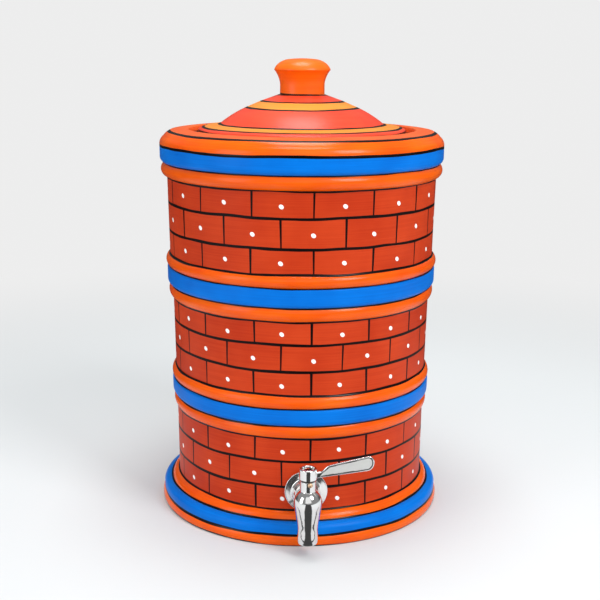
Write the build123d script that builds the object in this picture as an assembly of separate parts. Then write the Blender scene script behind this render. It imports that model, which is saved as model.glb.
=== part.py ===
from build123d import *
from math import asin, degrees, radians, sqrt, tan
import os

# A thrown and painted clay water jar with a stepped lid and a metal lever tap.
# Sizes are in millimetres. The origin is the middle of the foot's underside, +Z is up
# and the tap stands out along -Y, which is the front. At rest the tap is shut, with
# its lever towards +X.

# Clearances
running_gap = 0.05
seat_gap = 0.05
flat_gap = 0.2
overrun = 5.0
quarter_turn = 90.0

# Jar: the wall's outside, from the foot up, and the clay's thickness
jar_r = 112.4
low_taper = 0.8
low_step = 0.7
mid_taper = 1.3
mid_step = 2.4
top_taper = 1.4
wall_t = 9.0
floor_t = 12.0
floor_round = 16.0

# Jar: heights, stacked from the ground
foot_bead_h = 9.7
foot_band_h = 9.5
foot_cove_h = 7.2
low_wall_h = 63.8
low_bead_h = 11.3
low_band_h = 14.6
low_cap_h = 12.3
mid_wall_h = 62.3
mid_bead_h = 11.9
mid_band_h = 16.3
mid_cap_h = 12.0
top_wall_h = 67.1
rim_bead_h = 12.0
rim_band_h = 16.5
rim_shoulder_h = 11.0

# Jar: how far each turned form stands proud of the wall beside it
foot_groove_out = 13.2
foot_bead_bulge = 2.2
foot_band_out = 14.0
foot_cove_out = 6.4
foot_cove_bulge = 1.4
foot_band_bulge = 1.8
low_bead_out = 2.7
mid_bead_out = 3.6
rim_bead_out = 5.3
cap_out = 3.45
band_out = 3.6
groove_out = 0.4
cap_groove_out = 1.4
band_under_h = 4.5
band_under_bulge = 0.9
groove_lip_h = 0.9
rim_groove_out = 2.2
rim_out = 6.2
rim_shoulder_w = 11.8

# Jar: mouth, with the ledge that carries the lid
rim_w = 25.6
gallery_h = 6.0
gallery_round = 1.2
ledge_w = 9.7
mouth_h = 14.0
mouth_round = 2.5
rim_underside_h = 24.0
rim_underside_bulge = 5.0

# Lid
lid_gap = 1.5
lid_h = 36.7
lid_t = 8.0
lid_edge_round = 1.5
lid_seat_w = 10.0
lid_ring_shares = (0.885, 0.736, 0.504, 0.369)
lid_rise_shares = (0.190, 0.243, 0.300, 0.687, 0.842)
lid_dome_bulge = 0.9
lid_boss_t = 13.0

# Knob
knob_r = 24.2
knob_h = 30.7
knob_neck_r = 19.6
knob_seat_margin = 1.0
knob_spigot_r = 8.0
knob_spigot_h = 6.0
knob_straight_share = 0.30
knob_flare_share = 0.64
knob_edge_share = 0.72
knob_flare_out = 3.1
knob_crown_share = 0.945
knob_crown_r_share = 0.74
clay_joint_gap = 0.15

# Tap: places
tap_z = 45.0
tap_reach = 32.4

# Tap: shank, seals and nut on the wall
shank_r = 8.0
shank_hole_r = 9.0
shank_bore_r = 4.5
shank_tail = 4.0
thread_gap = 0.03
seal_t = 2.2
outer_washer_r = 16.6
inner_washer_r = 15.0
backing_washer_r = 14.0
backing_washer_t = 1.5
nut_flats = 24.0
nut_sides = 6
nut_h = 7.0
nut_chamfer = 1.2

# Tap: dished disc on the wall
disc_r = 18.0
disc_t = 1.0
disc_rim_h = 1.6
disc_flat_share = 0.72
disc_dish_h = 2.4
disc_nose_h = 8.2
disc_nose_r = 9.4
disc_hole_gap = 0.15

# Tap: cast body
collar_r = 9.4
collar_h = 2.4
neck_r = 7.6
bulb_r = 11.6
bulb_drop = 2.5
bulb_top_h = 12.5
barrel_r = 6.35
barrel_h = 18.5
land_r = 5.9
land_h = 3.4
spout_neck_r = 8.5
spout_neck_drop = 20.0
spout_lip_r = 8.65
spout_lip_drop = 27.5
spout_drop = 33.0
spout_end_r = 7.4
spout_bore_r = 6.0
spout_bore_h = 21.0
throat_r = 4.2

# Tap: spindle with its ported plug
plug_r = 5.0
plug_drop = 6.5
port_r = 3.0
drain_r = 2.5
drive_flats = 6.0
drive_h = 6.1
ring_section_r = 0.7
ring_groove_h = 1.7
upper_ring_drop = 5.2
middle_ring_drop = 9.0
seal_ring_wall = 1.2
seal_ring_h = 3.5

# Tap: stop pin
pin_r = 1.0
pin_head_r = 1.55
pin_z_drop = 1.7
pin_grip = 0.8
pin_head_out = 2.1
pin_head_round = 0.6
pin_turn = -78.0
turn_range = quarter_turn
notch_gap = 0.25

# Tap: lever and its screw
hub_r = 6.95
hub_h = 13.4
hub_round = 0.6
hub_recess_r = 5.0
hub_recess_h = 3.6
arm_reach = 52.4
arm_t = 1.6
arm_root_z = 5.3
arm_root_h = 5.3
arm_slope = 8.0
arm_neck_x = 10.5
arm_shoulder_x = 17.3
arm_shoulder_h = 9.6
arm_end_h = 12.4
arm_tip_share = 0.90
panel_margin = 2.1
panel_depth = 0.35
screw_r = 1.5
screw_l = 12.0
screw_head_r = 3.2
screw_head_h = 2.0
screw_head_round = 0.5
screw_slot_w = 0.9
screw_slot_h = 0.9
spring_t = 0.6
spring_r = 4.6

# Heights and radii that follow
foot_z = foot_bead_h + foot_band_h + foot_cove_h
low_z = foot_z + low_wall_h
low_top_z = low_z + low_bead_h + low_band_h + low_cap_h
mid_z = low_top_z + mid_wall_h
mid_top_z = mid_z + mid_bead_h + mid_band_h + mid_cap_h
rim_z = mid_top_z + top_wall_h
shoulder_z = rim_z + rim_bead_h + rim_band_h
jar_h = shoulder_z + rim_shoulder_h
low_r = jar_r + low_taper
mid_r = low_r + low_step
mid_end_r = mid_r + mid_taper
top_r = mid_end_r + mid_step
rim_wall_r = top_r + top_taper
rim_r = rim_wall_r + rim_out
gallery_r = rim_r - rim_w
mouth_r = gallery_r - ledge_w
ledge_z = jar_h - gallery_h
lid_r = gallery_r - lid_gap
knob_z = ledge_z + lid_h

# Distances in front of the jar's axis that follow
wall_front = jar_r + low_taper * (tap_z - foot_z) / low_wall_h
wall_back = wall_front - wall_t
tap_front = wall_front + tap_reach
disc_front = wall_front + seal_t
washer_back = sqrt(wall_back**2 - inner_washer_r**2) - seal_t
nut_front = washer_back - backing_washer_t
shank_end = nut_front - nut_h - shank_tail
land_z = tap_z + barrel_h
barrel_top_z = land_z + land_h
pin_z = barrel_top_z - pin_z_drop
hub_z = land_z + flat_gap
drive_z = barrel_top_z + flat_gap
hub_top_z = hub_z + hub_h
recess_z = hub_top_z - hub_recess_h


def turned(outline):
    """Turn a closed outline, drawn as radius against height, about the upright axis."""
    return revolve(Plane.XZ * make_face(outline), Axis.Z)


def rod(radius, near, far):
    """A round rod at the tap's height, between two distances in front of the axis."""
    start = Plane(origin=(0, -near, tap_z), z_dir=(0, -1, 0))
    return extrude(start * Circle(radius), far - near)


def at_tap(shape):
    """Carry a shape turned about the upright axis out to the tap."""
    return Pos(0, -tap_front, 0) * shape


def upright(radius, low, high):
    """A round post on the upright axis between two heights."""
    return Pos(0, 0, low) * extrude(Circle(radius), high - low)


def bead(start, end, out_r):
    """A round bead between two points, as far out as the radius given."""
    bulge = out_r - (start[0] + end[0]) / 2
    return SagittaArc(start, end, -bulge)


def band_group(base_z, base_r, top_wall_r, heights, bead_out):
    """A bead, a flat band and a second bead, with a groove on each side of the band."""
    bead_h, band_h, cap_h = heights
    groove_z = base_z + bead_h
    cap_z = groove_z + band_h
    middle_r = (base_r + top_wall_r) / 2
    groove = (middle_r + groove_out, groove_z)
    band_low = (middle_r + band_out, groove_z + band_under_h)
    band_high = (middle_r + band_out, cap_z - groove_lip_h)
    cap_groove = (middle_r + cap_groove_out, cap_z)
    end = (top_wall_r, cap_z + cap_h)
    return [
        bead((base_r, base_z), groove, base_r + bead_out),
        SagittaArc(groove, band_low, -band_under_bulge),
        Line(band_low, band_high),
        Line(band_high, cap_groove),
        bead(cap_groove, end, top_wall_r + cap_out),
    ]


def foot_outline():
    """The flared foot: a bead on the ground, a rounded band and a small round above."""
    ground = (jar_r + foot_groove_out, 0)
    groove = (jar_r + foot_groove_out, foot_bead_h)
    band_low = (jar_r + foot_band_out, foot_bead_h + groove_lip_h)
    band_high = (jar_r + foot_band_out, foot_bead_h + foot_band_h / 2)
    cove = (jar_r + foot_cove_out, foot_bead_h + foot_band_h)
    wall = (jar_r, foot_z)
    return [
        Line((0, 0), ground),
        SagittaArc(ground, groove, -foot_bead_bulge),
        Line(groove, band_low),
        Line(band_low, band_high),
        SagittaArc(band_high, cove, -foot_band_bulge),
        SagittaArc(cove, wall, -foot_cove_bulge),
    ]


def rim_outline():
    """The rim's outside: a bead, a groove, the blue band's face and a round shoulder."""
    wall = (rim_wall_r, rim_z)
    groove = (rim_wall_r + rim_groove_out, rim_z + rim_bead_h)
    band_low = (rim_r, rim_z + rim_bead_h + band_under_h)
    band_high = (rim_r, shoulder_z)
    centre = (rim_r - rim_shoulder_w, shoulder_z)
    return [
        bead(wall, groove, rim_wall_r + rim_bead_out),
        SagittaArc(groove, band_low, -band_under_bulge),
        Line(band_low, band_high),
        EllipticalCenterArc(centre, rim_shoulder_w, rim_shoulder_h, start_angle=0, arc_size=quarter_turn),
    ]


def mouth_outline():
    """The rim's flat top, the ledge for the lid, the mouth and the hollow inside."""
    inner_r = rim_wall_r - wall_t
    under_z = ledge_z - mouth_h
    floor_r = jar_r - wall_t
    gallery_edge = (gallery_r + gallery_round, jar_h)
    gallery_side = (gallery_r, jar_h - gallery_round)
    mouth_edge = (mouth_r + mouth_round, ledge_z)
    mouth_side = (mouth_r, ledge_z - mouth_round)
    return [
        Line((rim_r - rim_shoulder_w, jar_h), gallery_edge),
        RadiusArc(gallery_edge, gallery_side, -gallery_round),
        Line(gallery_side, (gallery_r, ledge_z)),
        Line((gallery_r, ledge_z), mouth_edge),
        RadiusArc(mouth_edge, mouth_side, -mouth_round),
        Line(mouth_side, (mouth_r, under_z)),
        SagittaArc((mouth_r, under_z), (inner_r, under_z - rim_underside_h), rim_underside_bulge),
        Line((inner_r, under_z - rim_underside_h), (floor_r, floor_t + floor_round)),
        RadiusArc((floor_r, floor_t + floor_round), (floor_r - floor_round, floor_t), floor_round),
        Line((floor_r - floor_round, floor_t), (0, floor_t)),
        Line((0, floor_t), (0, 0)),
    ]


def make_jar_body():
    """The whole pot in one turning, with the hole for the tap's shank."""
    low_heights = (low_bead_h, low_band_h, low_cap_h)
    mid_heights = (mid_bead_h, mid_band_h, mid_cap_h)
    outline = foot_outline()
    outline += [Line((jar_r, foot_z), (low_r, low_z))]
    outline += band_group(low_z, low_r, mid_r, low_heights, low_bead_out)
    outline += [Line((mid_r, low_top_z), (mid_end_r, mid_z))]
    outline += band_group(mid_z, mid_end_r, top_r, mid_heights, mid_bead_out)
    outline += [Line((top_r, mid_top_z), (rim_wall_r, rim_z))]
    outline += rim_outline() + mouth_outline()
    pot = turned(Curve() + outline)
    return pot - rod(shank_hole_r, wall_back - overrun, wall_front + overrun)


def lid_top_points():
    """The painted lines of the lid, from its edge in to the knob's seat."""
    rings = [lid_r * share for share in lid_ring_shares]
    rises = [ledge_z + lid_h * share for share in lid_rise_shares]
    return [(lid_r - lid_edge_round, rises[0])] + list(zip(rings, rises[1:]))


def make_lid():
    """A shallow hollow dish turned over: a flat seat ring, a brim, a dome and a boss."""
    edge, brim, step, hill, crest = lid_top_points()
    side = (lid_r, edge[1] - lid_edge_round)
    seat = (lid_r - lid_seat_w, ledge_z)
    boss = (knob_neck_r + knob_seat_margin, knob_z)
    hollow_z = knob_z - lid_boss_t
    hollow_top = (hill[0] - lid_t, hollow_z)
    hollow_low = (step[0] - lid_t, ledge_z + seat_gap)
    outline = [
        Line(seat, (lid_r, ledge_z)),
        Line((lid_r, ledge_z), side),
        RadiusArc(side, edge, -lid_edge_round),
        Line(edge, brim),
        Line(brim, step),
        SagittaArc(step, hill, -lid_dome_bulge),
        Line(hill, crest),
        Line(crest, boss),
        Line(boss, (0, knob_z)),
        Line((0, knob_z), (0, hollow_z)),
        Line((0, hollow_z), hollow_top),
        Line(hollow_top, hollow_low),
        Line(hollow_low, seat),
    ]
    socket_z = knob_z - knob_spigot_h - clay_joint_gap
    socket = upright(knob_spigot_r + clay_joint_gap, socket_z, knob_z + overrun)
    return turned(Curve() + outline) - socket


def make_lid_knob():
    """A turned knob with a hollow-flared neck, a sharp-edged cap and a spigot below."""
    edge_z = knob_z + knob_h * knob_edge_share
    crown_z = knob_z + knob_h * knob_crown_share
    straight_z = knob_z + knob_h * knob_straight_share
    flare = (knob_neck_r + knob_flare_out, knob_z + knob_h * knob_flare_share)
    crown = (knob_r * knob_crown_r_share, crown_z)
    top = (0, knob_z + knob_h)
    foot_point = (0, knob_z - knob_spigot_h)
    outline = [
        Line(foot_point, (knob_spigot_r, knob_z - knob_spigot_h)),
        Line((knob_spigot_r, knob_z - knob_spigot_h), (knob_spigot_r, knob_z)),
        Line((knob_spigot_r, knob_z), (knob_neck_r, knob_z)),
        Line((knob_neck_r, knob_z), (knob_neck_r, straight_z)),
        Spline((knob_neck_r, straight_z), flare, tangents=((0, 1), (1, 1))),
        Line(flare, (knob_r, edge_z)),
        Spline((knob_r, edge_z), crown, top, tangents=((0, 1), (-1, 0))),
        Line(top, foot_point),
    ]
    return turned(Curve() + outline)


def make_escutcheon():
    """A pressed disc that dishes forward from a flat rim to a nose round the shank."""
    flat_r = disc_r * disc_flat_share
    outline = [
        Line((disc_r - disc_t, 0), (disc_r, 0)),
        Line((disc_r, 0), (disc_r, disc_rim_h)),
        Line((disc_r, disc_rim_h), (flat_r, disc_dish_h)),
        Spline((flat_r, disc_dish_h), (disc_nose_r, disc_nose_h), tangents=((-1, 0), (0, 1))),
        Line((disc_nose_r, disc_nose_h), (shank_r + disc_hole_gap, disc_nose_h)),
        Line((shank_r + disc_hole_gap, disc_nose_h), (shank_r + disc_hole_gap, disc_nose_h - disc_t)),
        Line((shank_r + disc_hole_gap, disc_nose_h - disc_t), (flat_r - disc_t, disc_dish_h - disc_t)),
        Line((flat_r - disc_t, disc_dish_h - disc_t), (disc_r - disc_t, disc_rim_h - disc_t)),
        Line((disc_r - disc_t, disc_rim_h - disc_t), (disc_r - disc_t, 0)),
    ]
    disc = turned(Curve() + outline)
    return Plane(origin=(0, -disc_front, tap_z), z_dir=(0, -1, 0)) * disc


def wall_solid(radius):
    """The wall's cone at the tap's height, as a solid as wide as the radius given."""
    slope = low_taper / low_wall_h
    low = radius - slope * tap_z
    high = radius + slope * tap_z
    return Pos(0, 0, tap_z) * Cone(low, high, tap_z * 2)


def make_outer_washer():
    """A soft ring, flat in front and hollowed behind to the jar's round wall."""
    ring = rod(outer_washer_r, wall_back, disc_front)
    hole = rod(shank_r + disc_hole_gap, wall_back - overrun, disc_front + overrun)
    return ring - hole - wall_solid(wall_front + seat_gap)


def make_inner_washer():
    """A soft ring, flat towards the nut and rounded to the inside of the wall."""
    ring = rod(inner_washer_r, washer_back, wall_front)
    hole = rod(shank_r + disc_hole_gap, washer_back - overrun, wall_front + overrun)
    return (ring - hole) & wall_solid(wall_back - seat_gap)


def make_backing_washer():
    """A flat metal washer that spreads the nut's load."""
    ring = rod(backing_washer_r, nut_front, washer_back)
    return ring - rod(shank_r + disc_hole_gap, nut_front - overrun, washer_back + overrun)


def make_lock_nut():
    """A hexagon nut with its corners bevelled, threaded on the shank."""
    corner_r = nut_flats / sqrt(3)
    bevel_r = corner_r - nut_chamfer
    outline = Polyline(
        (0, 0), (bevel_r, 0), (corner_r, nut_chamfer), (corner_r, nut_h - nut_chamfer),
        (bevel_r, nut_h), (0, nut_h), close=True,
    )
    hexagon = extrude(RegularPolygon(nut_flats / 2, nut_sides, major_radius=False), nut_h)
    hole = upright(shank_r + thread_gap, -overrun, nut_h + overrun)
    start = Plane(origin=(0, -nut_front, tap_z), z_dir=(0, 1, 0))
    return start * ((hexagon & turned(outline)) - hole)


def tap_outline():
    """The casting's outside in one turning: spout, bulb, barrel and the land on top."""
    lip = (spout_lip_r, tap_z - spout_lip_drop)
    neck = (spout_neck_r, tap_z - spout_neck_drop)
    bulb = (bulb_r, tap_z + bulb_drop)
    shoulder = (barrel_r, tap_z + bulb_top_h)
    return [
        Line((0, tap_z - spout_drop), (spout_end_r, tap_z - spout_drop)),
        Spline((spout_end_r, tap_z - spout_drop), lip, neck, bulb, shoulder, tangents=((1, 1), (-1, 1))),
        Line(shoulder, (barrel_r, land_z)),
        Line((barrel_r, land_z), (land_r, land_z)),
        Line((land_r, land_z), (land_r, barrel_top_z)),
        Line((land_r, barrel_top_z), (0, barrel_top_z)),
        Line((0, barrel_top_z), (0, tap_z - spout_drop)),
    ]


def make_tap_body():
    """The casting with its neck, collar and shank, and the waterway bored through it."""
    seat_z = tap_z - plug_drop
    spout_z = tap_z - spout_drop
    collar_back = disc_front + disc_nose_h
    body = at_tap(turned(Curve() + tap_outline()))
    body += rod(neck_r, collar_back, tap_front)
    body += rod(collar_r, collar_back, collar_back + collar_h)
    body += rod(shank_r, shank_end, tap_front)
    body -= rod(shank_bore_r, shank_end - overrun, tap_front)
    body -= at_tap(upright(plug_r, seat_z, barrel_top_z + overrun))
    body -= at_tap(upright(throat_r, spout_z, seat_z + overrun))
    body -= at_tap(upright(spout_bore_r, spout_z - overrun, spout_z + spout_bore_h))
    return body - pin_rod(pin_r + running_gap, plug_r - overrun, land_r + overrun)


def pin_rod(radius, near, far):
    """A round rod out of the tap's upright axis at the stop pin's height and turn."""
    rod_along_x = Plane(origin=(near, 0, pin_z), z_dir=(1, 0, 0)) * extrude(Circle(radius), far - near)
    return at_tap(Rot(0, 0, pin_turn) * rod_along_x)


def make_port_seal():
    """A soft ring in the inlet, hollowed in front to the round plug that it presses on."""
    back = tap_front - plug_r - seal_ring_h
    ring = rod(shank_bore_r - seat_gap, back, tap_front)
    ring -= rod(shank_bore_r - seal_ring_wall, back - overrun, tap_front + overrun)
    return ring - at_tap(upright(plug_r + seat_gap, 0, barrel_top_z))


def ring_heights():
    """Heights of the sealing rings: two above the port and one below it."""
    upper = pin_z - upper_ring_drop
    middle = pin_z - middle_ring_drop
    lower = tap_z - (plug_drop + port_r) / 2
    return [upper, middle, lower]


def make_spindle():
    """A round stem with a square drive, grooves for pin and rings, and an angled port."""
    stem_r = plug_r - running_gap
    seat_z = tap_z - plug_drop + flat_gap
    groove_r = stem_r - ring_section_r * 2
    stem = upright(stem_r, seat_z, drive_z)
    drive = extrude(Rectangle(drive_flats, drive_flats), drive_h)
    stem += Pos(0, 0, drive_z) * drive
    for height in ring_heights():
        band = upright(plug_r + overrun, height - ring_groove_h / 2, height + ring_groove_h / 2)
        stem -= band - upright(groove_r, seat_z, drive_z)
    pin_half = pin_r + running_gap
    pin_groove = upright(plug_r + overrun, pin_z - pin_half, pin_z + pin_half)
    stem -= pin_groove - upright(stem_r - pin_grip, seat_z, drive_z)
    inlet = Plane(origin=(0, 0, tap_z), z_dir=(-1, 0, 0)) * extrude(Circle(port_r), plug_r + overrun)
    stem -= inlet
    stem -= upright(drain_r, seat_z - overrun, tap_z)
    screw_end = recess_z + spring_t - screw_l - flat_gap
    stem -= upright(screw_r + thread_gap, screw_end, drive_z + drive_h + overrun)
    return at_tap(stem)


def make_stem_o_rings():
    """Soft sealing rings, one in each groove of the stem."""
    centre_r = plug_r - running_gap - ring_section_r
    ring = Torus(centre_r, ring_section_r)
    return Compound([at_tap(Pos(0, 0, height) * ring) for height in ring_heights()])


def make_stop_pin():
    """A stepped pin through the land: its foot holds the stem down, its head stops the lever."""
    foot = pin_rod(pin_r, plug_r - pin_grip + running_gap * 2, land_r)
    head = pin_rod(pin_head_r, land_r, land_r + pin_head_out)
    head = fillet(head.edges().filter_by(GeomType.CIRCLE).group_by(Axis.Y)[0], pin_head_round)
    return foot + head


def arm_low(x):
    """Height of the arm's straight lower edge at a distance out from the tap's axis."""
    return hub_z + arm_root_z + (x - hub_r) * tan(radians(arm_slope))


def arm_end():
    """The arm's round tip, from its lower edge round to its upper edge."""
    tip_x = arm_reach * arm_tip_share
    low = (tip_x, arm_low(tip_x))
    tip = (arm_reach, arm_low(tip_x) + arm_end_h / 2)
    high = (tip_x, arm_low(tip_x) + arm_end_h)
    return low, ThreePointArc(low, tip, high), high


def arm_face():
    """The flat arm seen from the front: a narrow root, a shoulder and a widening paddle."""
    root_x = (hub_recess_r + hub_r) / 2
    low, tip, high = arm_end()
    root_low = (root_x, arm_low(root_x))
    root_high = (root_x, arm_low(root_x) + arm_root_h)
    neck = (arm_neck_x, arm_low(arm_neck_x) + arm_root_h)
    shoulder = (arm_shoulder_x, arm_low(arm_shoulder_x) + arm_shoulder_h)
    rise = high[1] - shoulder[1]
    run = high[0] - shoulder[0]
    curve = [
        Line(root_low, low),
        tip,
        Line(high, shoulder),
        Spline(shoulder, neck, tangents=((-run, -rise), (-1, 0))),
        Line(neck, root_high),
        Line(root_high, root_low),
    ]
    return Plane.XZ * make_face(Curve() + curve)


def panel_face():
    """The long oval set into the paddle, inside its rim."""
    low, tip, high = arm_end()
    root_low = (arm_shoulder_x, arm_low(arm_shoulder_x))
    root_high = (arm_shoulder_x, arm_low(arm_shoulder_x) + arm_shoulder_h)
    curve = [Line(root_low, low), tip, Line(high, root_high), Line(root_high, root_low)]
    paddle = make_face(Curve() + curve)
    panel = offset(paddle, -panel_margin)
    corners = panel.vertices().group_by(Axis.X)[0]
    return Plane.XZ * fillet(corners, panel_margin)


def make_lever():
    """A hub with a skirt over the barrel, notched for the stop pin, and its flat arm."""
    hub = upright(hub_r, hub_z, hub_top_z)
    hub = fillet(hub.edges().sort_by(Axis.Z)[-1], hub_round)
    hub += extrude(arm_face(), arm_t / 2, both=True)
    hub -= Pos(0, -arm_t / 2 + panel_depth, 0) * extrude(panel_face(), overrun)
    hub -= upright(hub_recess_r, recess_z, hub_top_z + overrun)
    hub -= upright(land_r + running_gap * 2, hub_z - overrun, drive_z)
    drive_hole = drive_flats + running_gap * 2
    hub -= Pos(0, 0, drive_z - overrun) * extrude(Rectangle(drive_hole, drive_hole), hub_h)
    return at_tap(hub - stop_notch())


def stop_notch():
    """The part turn cut from the skirt, as long as the lever's travel and the pin's head."""
    side = degrees(asin((pin_head_r + notch_gap) / land_r))
    low = hub_z - overrun
    high = pin_z + pin_head_r + notch_gap
    near = land_r / 2
    far = hub_r + overrun
    corners = Polyline((near, low), (far, low), (far, high), (near, high), close=True)
    sector = revolve(Plane.XZ * make_face(corners), Axis.Z, turn_range + side * 2)
    return Rot(0, 0, pin_turn - side) * sector


def make_hub_screw():
    """A slotted round-headed screw that holds the hub down on the stem."""
    head_z = recess_z + spring_t
    head = upright(screw_head_r, head_z, head_z + screw_head_h)
    head = fillet(head.edges().sort_by(Axis.Z)[-1], screw_head_round)
    slot = Box(screw_head_r * 2 + overrun, screw_slot_w, screw_slot_h * 2)
    head -= Pos(0, 0, head_z + screw_head_h) * slot
    return at_tap(head + upright(screw_r, head_z - screw_l, head_z))


def make_spring_washer():
    """A thin ring under the screw's head."""
    ring = upright(spring_r, recess_z, recess_z + spring_t)
    return at_tap(ring - upright(screw_r + running_gap, recess_z - overrun, recess_z + overrun))


pieces = {
    "jar_body": make_jar_body,
    "lid": make_lid,
    "lid_knob": make_lid_knob,
    "tap_body": make_tap_body,
    "escutcheon": make_escutcheon,
    "outer_washer": make_outer_washer,
    "inner_washer": make_inner_washer,
    "backing_washer": make_backing_washer,
    "lock_nut": make_lock_nut,
    "port_seal": make_port_seal,
    "stop_pin": make_stop_pin,
    "spindle": make_spindle,
    "stem_o_rings": make_stem_o_rings,
    "lever": make_lever,
    "spring_washer": make_spring_washer,
    "hub_screw": make_hub_screw,
}

os.makedirs("parts", exist_ok=True)
for name, make in pieces.items():
    shape = make()
    export_step(shape, f"parts/{name}.step")
    print(name, round(shape.volume), "mm3")
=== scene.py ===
# %% [markdown]
# # A painted clay water jar with a lever tap
# The jar is thrown on a wheel, turned into bands, fired and painted by hand: three
# zones of brick courses between orange beads and blue bands. This notebook dresses
# a fixed frame of solids. The frame says where everything is; the cells below only
# make the surfaces and finishes that a viewer sees.

# %% Load the frame
import math

import bpy
import numpy as np
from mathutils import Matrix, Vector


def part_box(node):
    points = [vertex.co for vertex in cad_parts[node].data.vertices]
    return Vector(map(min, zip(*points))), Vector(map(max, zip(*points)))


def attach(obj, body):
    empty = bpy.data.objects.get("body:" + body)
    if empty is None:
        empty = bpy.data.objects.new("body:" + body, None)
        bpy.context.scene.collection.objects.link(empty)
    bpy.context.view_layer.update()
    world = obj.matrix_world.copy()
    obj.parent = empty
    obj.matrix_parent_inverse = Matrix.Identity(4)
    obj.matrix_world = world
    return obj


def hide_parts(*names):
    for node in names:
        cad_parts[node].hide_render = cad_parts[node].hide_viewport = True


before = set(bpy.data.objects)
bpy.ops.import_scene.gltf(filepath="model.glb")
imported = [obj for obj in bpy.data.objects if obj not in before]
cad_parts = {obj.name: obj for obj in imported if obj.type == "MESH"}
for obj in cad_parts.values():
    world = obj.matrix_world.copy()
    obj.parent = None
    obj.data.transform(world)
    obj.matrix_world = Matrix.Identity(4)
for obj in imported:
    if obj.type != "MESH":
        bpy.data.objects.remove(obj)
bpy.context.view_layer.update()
MM = 0.001
TINY = 1e-6

# %% [markdown]
# ## Camera first
# A photographer's view is fixed by four things: how far the camera stands, how high,
# how far it looks down, and the lens. They could be tried by eye, but the painted rings
# say them: they are circles round one axis, which open more and more towards the foot.
# The camera also stands a little to the left, which moves the tap right of centre.

# %% Camera
IMAGE_WIDTH_PX = 600
SENSOR_MM = 36.0
FOCAL_PX = 1100.0
CAMERA_DISTANCE = 980 * MM
CAMERA_HEIGHT = 409.4 * MM
CAMERA_PITCH_DEG = 13.01
CAMERA_ROUND_DEG = 2.8
CAMERA_ROLL_DEG = -0.40
AXIS_OFFSET_PX = 2.50

camera_data = bpy.data.cameras.new("photo_camera")
camera_data.sensor_width = SENSOR_MM
camera_data.lens = FOCAL_PX / IMAGE_WIDTH_PX * SENSOR_MM
camera = bpy.data.objects.new("photo_camera", camera_data)
bpy.context.scene.collection.objects.link(camera)
round_angle = math.radians(CAMERA_ROUND_DEG)
camera.location = (-CAMERA_DISTANCE * math.sin(round_angle),
                   -CAMERA_DISTANCE * math.cos(round_angle), CAMERA_HEIGHT)
aim_turn = -round_angle + math.atan(AXIS_OFFSET_PX / FOCAL_PX)
camera.rotation_mode = "XYZ"
tilt = math.radians(90.0 - CAMERA_PITCH_DEG)
camera.rotation_euler = (tilt, math.radians(CAMERA_ROLL_DEG), aim_turn)
bpy.context.scene.camera = camera
print("lens in millimetres", round(camera_data.lens, 1))

# %% [markdown]
# ## Shader sums that read like sums
# A shader graph is arithmetic drawn with boxes. A small class that wraps one socket
# and overloads the operators lets the arithmetic be written as a line of Python, and
# each operator adds the Math node that it stands for.

# %% Shader helper


def srgb(red, green, blue):
    """Linear colour from a screen's 0 to 255: ((c + 0.055) / 1.055) ^ 2.4, or c / 12.92."""
    values = np.array([red, green, blue]) / 255.0
    linear = np.where(values <= 0.04045, values / 12.92, ((values + 0.055) / 1.055) ** 2.4)
    return (*linear.tolist(), 1.0)


def grey(level):
    """A neutral colour of the level given."""
    return (level, level, level, 1)


class Value:
    """One output socket that can be used in sums."""

    def __init__(self, shader, socket):
        self.shader = shader
        self.socket = socket

    def sum(self, operation, *others):
        """A Math node of this value and up to two more."""
        given = dict(enumerate((self, *others)))
        return self.shader.node("ShaderNodeMath", {"operation": operation}, given)

    def __add__(self, other):
        return self.sum("ADD", other)

    __radd__ = __add__

    def __mul__(self, other):
        return self.sum("MULTIPLY", other)

    __rmul__ = __mul__

    def __sub__(self, other):
        return self.sum("SUBTRACT", other)

    def __rsub__(self, other):
        return self.shader.node("ShaderNodeMath", {"operation": "SUBTRACT"}, {0: other, 1: self})

    def __truediv__(self, other):
        return self.sum("DIVIDE", other)

    def __abs__(self):
        return self.sum("ABSOLUTE")

    def ramp(self, low, high):
        """0 below low, 1 above high and a smooth step between: 3t^2 - 2t^3."""
        return self.shader.node("ShaderNodeMapRange", {"interpolation_type": "SMOOTHSTEP"},
                                {"Value": self, "From Min": low, "From Max": high})


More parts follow.
